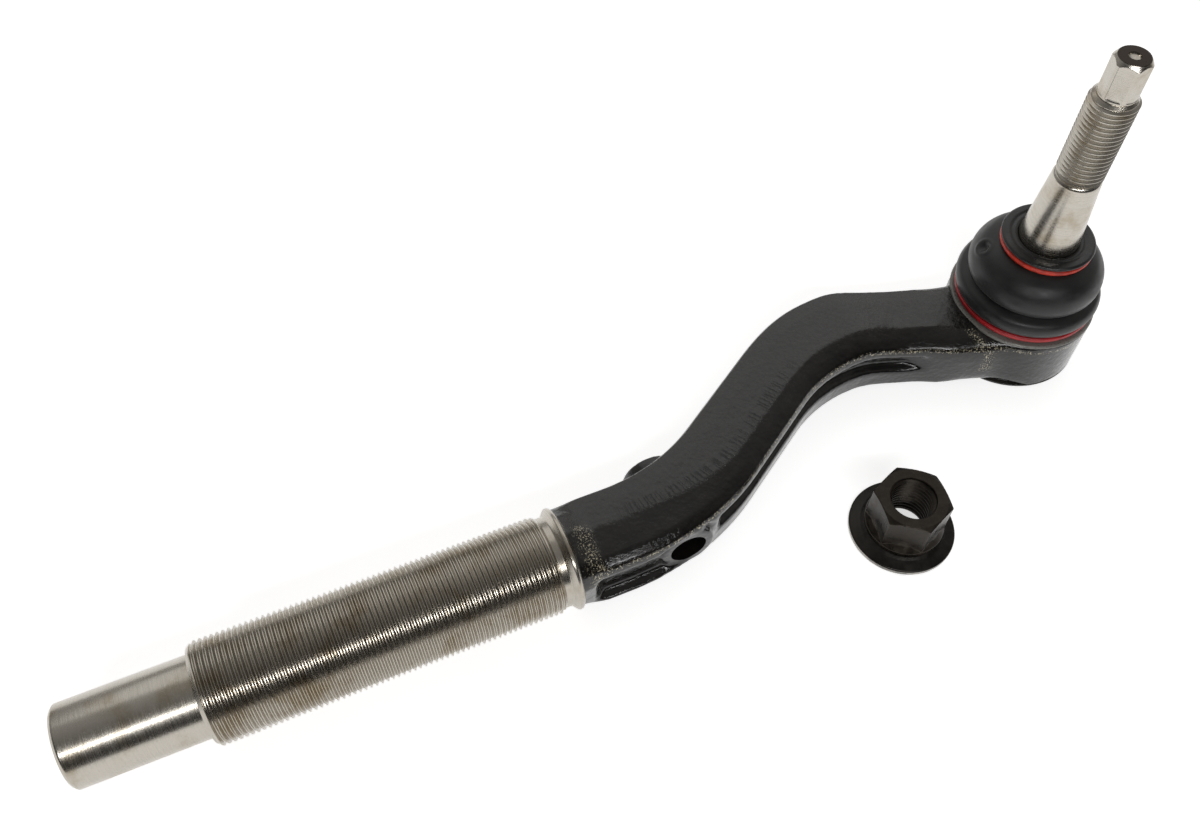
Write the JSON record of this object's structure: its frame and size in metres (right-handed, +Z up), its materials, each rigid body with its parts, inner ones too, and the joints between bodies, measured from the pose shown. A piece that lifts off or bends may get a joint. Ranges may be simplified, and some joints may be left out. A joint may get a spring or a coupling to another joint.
{
  "type": "tie rod end",
  "caption": "Steering tie rod end: threaded shank, black forged S-shaped arm, sealed ball joint with tapered stud, and its loose flange nut.",
  "frame": {"origin": "centre of the housing's underside, on the ball stud's axis", "axes": "+Z up the ball stud, -X along the threaded shank away from the housing, +Y completes the right-handed frame"},
  "size_m": [0.33, 0.0897, 0.112],
  "materials": {
    "black_paint": "gloss",
    "machined_steel": "satin",
    "stud_steel": "satin",
    "spring_steel": "satin",
    "bearing_plastic": "matte",
    "boot_rubber": "satin",
    "red_ring": "satin",
    "nut_phosphate": "satin"
  },
  "bodies": {
    "body": {"forged_body": "black_paint", "end_cover": "black_paint", "preload_spring": "spring_steel", "lower_seat": "bearing_plastic", "boot_lower_ring": "red_ring", "dust_boot": "boot_rubber"},
    "race": {"upper_race": "bearing_plastic"},
    "boot_top": {"boot_collar": "boot_rubber", "boot_upper_ring": "red_ring"},
    "stud": {"ball_stud": "stud_steel"},
    "washer": {"captive_washer": "nut_phosphate"},
    "nut": {"flange_nut": "nut_phosphate"}
  },
  "joints": [
    {"name": "race_turn", "type": "hinge", "parent": "body", "child": "race", "pos_m": [0, 0, 0.0145], "axis": [0, 0, 1], "continuous": true},
    {"name": "stud_tilt", "type": "hinge", "parent": "race", "child": "boot_top", "pos_m": [0, 0, 0.0145], "axis": [0, 1, 0], "range_deg": [-22, 22], "deforming": ["dust_boot"]},
    {"name": "stud_spin", "type": "hinge", "parent": "boot_top", "child": "stud", "pos_m": [0, 0, 0.0145], "axis": [0, 0, 1], "continuous": true},
    {"name": "nut_lift", "type": "slide", "parent": "body", "child": "washer", "axis": [0, 0, 1], "range_m": [0, 0.06]},
    {"name": "nut_spin", "type": "hinge", "parent": "washer", "child": "nut", "pos_m": [-0.073, -0.051, 0.002], "axis": [0, 0, 1], "continuous": true}
  ]
}
